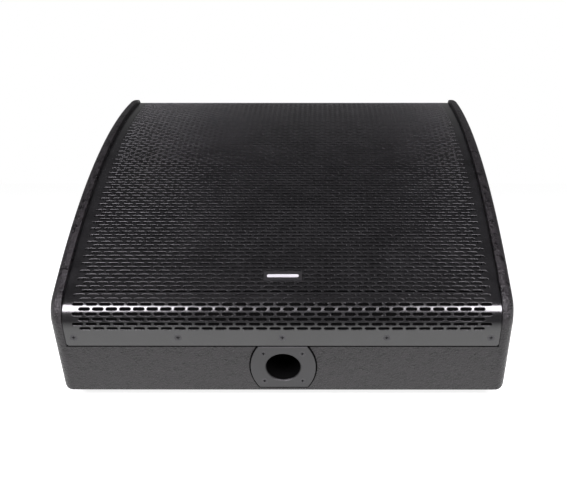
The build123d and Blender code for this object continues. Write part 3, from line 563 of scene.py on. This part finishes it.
# ---- Soft parts: foam, felt, surround and spider -----------------------------------------------------
def piece_from(name, points, faces, slot):
    """Smooth mesh object with the finish of a slot."""
    mesh = bpy.data.meshes.new(name)
    mesh.from_pydata(points, [], faces)
    mesh.polygons.foreach_set("use_smooth", [True] * len(faces))
    mesh.update()
    piece = bpy.data.objects.new(name, mesh)
    bpy.context.scene.collection.objects.link(piece)
    mesh.materials.append(MATERIALS[slot])
    return piece


def grid_faces(rows, columns, closed=False):
    """Faces between the points of a grid, joined up at both ends when the grid is closed."""
    faces = []
    for i in range(rows if closed else rows - 1):
        for j in range(columns if closed else columns - 1):
            k, m = (i + 1) % rows, (j + 1) % columns
            faces.append([i * columns + j, i * columns + m, k * columns + m, k * columns + j])
    return faces


BAFFLE_UP, BAFFLE_OUT = Vector((0, math.sqrt(0.75), 0.5)), Vector((0, -0.5, math.sqrt(0.75)))
FLANGE_BEYOND = 0.15            # parts of the basket further than this from the middle plane are its flange


def driver_origin():
    """Middle of the driver flange's seat, from the basket's extent along the baffle and out of it."""
    corners = [v.co for v in NODES["basket"].data.vertices]
    seat = min(c.dot(BAFFLE_OUT) for c in corners if abs(c.x) > FLANGE_BEYOND)
    across = [c.dot(BAFFLE_UP) for c in corners]
    return BAFFLE_OUT * seat + BAFFLE_UP * (max(across) + min(across)) / 2


DRIVER = driver_origin()


def turned(name, profile, slot, segments=120):
    """Closed ring whose section is a list of (radius, height) in millimetres in the driver frame."""
    points = []
    for i in range(segments):
        a = 2 * math.pi * i / segments
        way = Vector((1, 0, 0)) * math.cos(a) + BAFFLE_UP * math.sin(a)
        points += [DRIVER + way * r * MM + BAFFLE_OUT * z * MM for r, z in profile]
    faces = grid_faces(segments, len(profile), closed=True)
    return piece_from(name, points, faces, slot)


def thick(line, thickness):
    """Closed section of a thin sheet below a line of (radius, height)."""
    return line + [(r, z - thickness) for r, z in reversed(line)]


def flex(piece):
    """Bakes the ring's placement into its mesh."""
    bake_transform(piece)


def make_surround():
    """Half roll between a rim glued to the basket and a lip glued to the cone, in millimetres."""
    turns = [math.radians(a) for a in range(0, 181, 12)]
    roll = [(132.5 + 6.5 * math.cos(a), 5.4 + 6.0 * math.sin(a)) for a in turns]
    line = [(143.4, 6.0), (140.2, 6.0), (139.4, 5.7)] + roll + [(125.4, 5.9), (124.2, 6.0), (119.6, 6.0)]
    ring = turned("rolled_surround", thick(line, 0.8), "cloth", 144)
    flex(ring)
    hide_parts("surround")


def make_spider():
    """Corrugated disc between the former and the basket, flat where it is glued, in millimetres."""
    inner, outer, first_wave, last_wave, wavelength, height, steps = 38.6, 83.2, 42, 79.5, 7.5, -65.2, 60
    line = []
    for i in range(steps + 1):
        r = inner + (outer - inner) * i / steps
        turn = 2 * math.pi * (r - first_wave) / wavelength
        wave = 1.1 * math.sin(turn) if first_wave < r < last_wave else 0
        line.append((r, height + wave))
    ring = turned("corrugated_spider", thick(line[::-1], 0.7), "spider_cloth")
    flex(ring)
    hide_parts("spider")


def make_foam():
    """Open foam sheet, lightly dimpled, laid behind the curved part of the grille."""
    low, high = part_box("grille_foam")
    trial = [S2 + (S3 - S2) * i / 400 for i in range(401)]
    inside = [s for s in trial if low.y < skin(s)[0].y < high.y - 4 * MM]
    rows, columns = 90, 70
    points = []
    for depth, rough in ((2.0 * MM, 0.35 * MM), (6.4 * MM, 0)):
        for i in range(rows):
            point, slope = skin(inside[0] + (inside[-1] - inside[0]) * i / (rows - 1))
            for j in range(columns):
                x = low.x + (high.x - low.x) * j / (columns - 1)
                dimple = rough * (math.sin(i * 2.3 + j * 1.7) * math.sin(j * 2.9 - i * 0.6))
                points.append(point + Vector((x, 0, 0)) - outward(slope, depth + dimple))
    faces = grid_faces(rows, columns)
    shift = rows * columns
    faces += [[k + shift for k in reversed(face)] for face in grid_faces(rows, columns)]
    border = list(range(columns)) + [i * columns + columns - 1 for i in range(1, rows)]
    border += [(rows - 1) * columns + j for j in range(columns - 2, -1, -1)]
    border += [i * columns for i in range(rows - 2, 0, -1)]
    for a, b in zip(border, border[1:] + border[:1]):
        faces.append([b, a, a + shift, b + shift])
    sheet = piece_from("foam_sheet", points, faces, "foam")
    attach(sheet, "cabinet_body")
    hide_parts("grille_foam")


def make_pads():
    """Felt pads: the plain blocks remeshed, then dimpled and thinned unevenly inside their own space."""
    source = bpy.data.objects.new("felt_source", NODES["damping_pads"].data.copy())
    bpy.context.scene.collection.objects.link(source)
    weld = source.modifiers.new("remesh", "REMESH")
    weld.mode, weld.voxel_size, weld.use_smooth_shade = "VOXEL", 4 * MM, True
    made = bpy.data.meshes.new_from_object(source.evaluated_get(bpy.context.evaluated_depsgraph_get()))
    bpy.data.objects.remove(source)
    pads = bpy.data.objects.new("felt_pads", made)
    bpy.context.scene.collection.objects.link(pads)
    for vertex in made.vertices:
        a, b, c = vertex.co * 260
        dimples = math.sin(a + 1.7 * b) * math.sin(1.3 * c - a)
        swells = math.sin(0.31 * a) * math.sin(0.37 * b + 0.29 * c)
        vertex.co -= vertex.normal * (0.5 + 0.25 * (dimples + swells)) * 1.2 * MM
    made.materials.clear()
    made.materials.append(MATERIALS["felt"])
    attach(pads, "cabinet_body")
    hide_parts("damping_pads")


make_foam()
make_pads()
make_surround()
make_spider()


# ---- Stage: floor, sky, lamps and camera -------------------------------------------------------------
FRONT_EDGE = CAD_BOX[0][1]
TARGET = Vector((0, FRONT_EDGE, 0.10))
LAMP_TINT = (1.0, 0.95, 1.02)


def make_floor():
    """Plain pale floor that shows white to the camera and still takes the cabinet's soft shadow."""
    mesh = bpy.data.meshes.new("floor")
    r = 14.0
    mesh.from_pydata([(-r, -r, 0), (r, -r, 0), (r, r, 0), (-r, r, 0)], [], [(0, 1, 2, 3)])
    floor = bpy.data.objects.new("floor", mesh)
    bpy.context.scene.collection.objects.link(floor)
    made, tree, shader = new_material("floor_white")
    shader.inputs["Roughness"].default_value = 0.9
    shader.inputs["Specular IOR Level"].default_value = 0.0
    speck = noise(tree, 3.0, 2.0)
    tree.links.new(tint(tree, speck, (0.60, 0.60, 0.60), (0.64, 0.64, 0.64)), shader.inputs["Base Color"])
    rays = node(tree, "ShaderNodeLightPath")
    shader.inputs["Emission Color"].default_value = (1, 1, 1, 1)
    glow = calc(tree, "MULTIPLY", rays.outputs["Is Camera Ray"], 0.85)
    tree.links.new(glow, shader.inputs["Emission Strength"])
    # Painted reflection: for glossy rays only the floor glows, bright close to the cabinet and dim where the
    # studio's table ends, as what polished parts mirror of the floor.
    place = node(tree, "ShaderNodeSeparateXYZ", {0: node(tree, "ShaderNodeNewGeometry").outputs["Position"]})
    near = ramp(tree, place.outputs["Y"], 0.05, 1.5, FRONT_EDGE - 0.15, FRONT_EDGE - 0.02)
    mirrored = node(tree, "ShaderNodeEmission", {"Color": (1, 1, 1, 1), "Strength": near}).outputs[0]
    either = {0: rays.outputs["Is Glossy Ray"], 1: shader.outputs[0], 2: mirrored}
    mixed = node(tree, "ShaderNodeMixShader", either).outputs[0]
    tree.links.new(mixed, tree.nodes["Material Output"].inputs["Surface"])
    mesh.materials.append(made)


def make_sky():
    """White for the camera, dim for everything the cabinet mirrors or is lit by."""
    world = bpy.data.worlds.new("studio")
    bpy.context.scene.world = world
    world.use_nodes = True
    tree = world.node_tree
    shader = tree.nodes["Background"]
    rays = node(tree, "ShaderNodeLightPath")
    way = node(tree, "ShaderNodeSeparateXYZ", {0: node(tree, "ShaderNodeTexCoord").outputs["Generated"]})
    backdrop = ramp(tree, way.outputs["Y"], 0.012, 0.25, 0.5, 0.97)
    strength = 0.22
    for kind, value in (("Is Glossy Ray", backdrop), ("Is Camera Ray", 1.0)):
        pick = {"Factor": rays.outputs[kind], "A": strength, "B": value}
        strength = node(tree, "ShaderNodeMix", pick, data_type="FLOAT").outputs[0]
    tree.links.new(strength, shader.inputs["Strength"])
    shader.inputs["Color"].default_value = (1, 1, 1, 1)


def lamp(name, azimuth, elevation, distance, width, height, power):
    """Oval soft box aimed at the nose of the cabinet."""
    a, e = math.radians(azimuth), math.radians(elevation)
    data = bpy.data.lights.new(name, "AREA")
    data.shape, data.size, data.size_y, data.energy = "ELLIPSE", width, height, power
    data.color = LAMP_TINT
    obj = bpy.data.objects.new(name, data)
    way = Vector((math.sin(a) * math.cos(e), -math.cos(a) * math.cos(e), math.sin(e)))
    obj.location = TARGET + way * distance
    obj.rotation_euler = (TARGET - obj.location).to_track_quat("-Z", "Y").to_euler()
    bpy.context.scene.collection.objects.link(obj)


def make_camera():
    """Long lens from the front and a little above, slightly off to the right of the cabinet's middle."""
    data = bpy.data.cameras.new("camera")
    data.sensor_width, data.lens, data.shift_x = 36.0, 55.91, -0.0649
    obj = bpy.data.objects.new("camera", data)
    obj.location = NOSE_CENTRE + Vector((0.0415, -0.9219, 0.1523))
    obj.rotation_euler = (math.radians(90 - 5.10), 0, math.radians(0.12))
    bpy.context.scene.collection.objects.link(obj)
    bpy.context.scene.camera = obj


make_floor()
make_sky()
lamp("soft_left", -31, 29.6, 2.5, 1.55, 1.3, 103)
lamp("soft_right", 28.6, 29.6, 2.5, 1.28, 1.3, 87)
lamp("soft_middle", -1, 28, 2.6, 0.9, 0.55, 2.6)
make_camera()
bpy.context.scene.view_settings.view_transform = "Standard"
